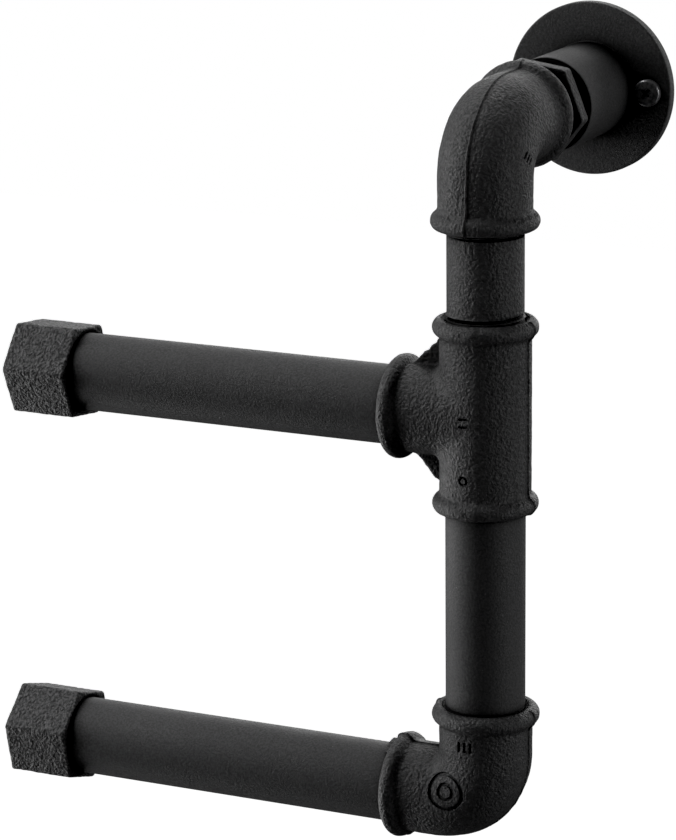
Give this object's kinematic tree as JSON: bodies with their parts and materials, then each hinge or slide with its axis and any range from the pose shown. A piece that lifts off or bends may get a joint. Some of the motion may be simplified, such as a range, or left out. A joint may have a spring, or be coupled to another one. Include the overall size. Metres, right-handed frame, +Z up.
{
  "type": "toilet paper holder",
  "caption": "Wall-mounted double toilet roll holder made of black threaded pipe: a round wall plate, a dropped leg and two straight arms with hexagonal end caps.",
  "frame": {"origin": "centre of the wall plate's back face, where it meets the wall", "axes": "+Y into the wall, +Z up, and both roll arms reach towards -X"},
  "size_m": [0.2098, 0.1263, 0.278],
  "materials": {
    "cast_black": "sand-cast grain under matt black powder coat",
    "pipe_black": "fine matt black powder coat on steel",
    "screw_black": "satin black zinc"
  },
  "bodies": {
    "root": {"wall_plate": "pipe_black", "wall_socket": "pipe_black", "wall_screw_left": "screw_black", "wall_screw_right": "screw_black", "hex_nipple": "cast_black", "upper_elbow": "cast_black", "short_nipple": "pipe_black", "tee": "cast_black", "long_nipple": "pipe_black", "lower_elbow": "cast_black", "upper_arm": "pipe_black", "lower_arm": "pipe_black"},
    "upper_cap": {"upper_end_cap": "cast_black"},
    "lower_cap": {"lower_end_cap": "cast_black"}
  },
  "joints": [
    {"name": "upper_cap_unscrew", "type": "hinge", "parent": "root", "child": "upper_cap", "pos_m": [-0.1515, -0.092, -0.0957], "axis": [-1, 0, 0], "range_deg": [0, 2790]},
    {"name": "lower_cap_unscrew", "type": "hinge", "parent": "root", "child": "lower_cap", "pos_m": [-0.1554, -0.092, -0.2296], "axis": [-1, 0, 0], "range_deg": [0, 2430]}
  ]
}
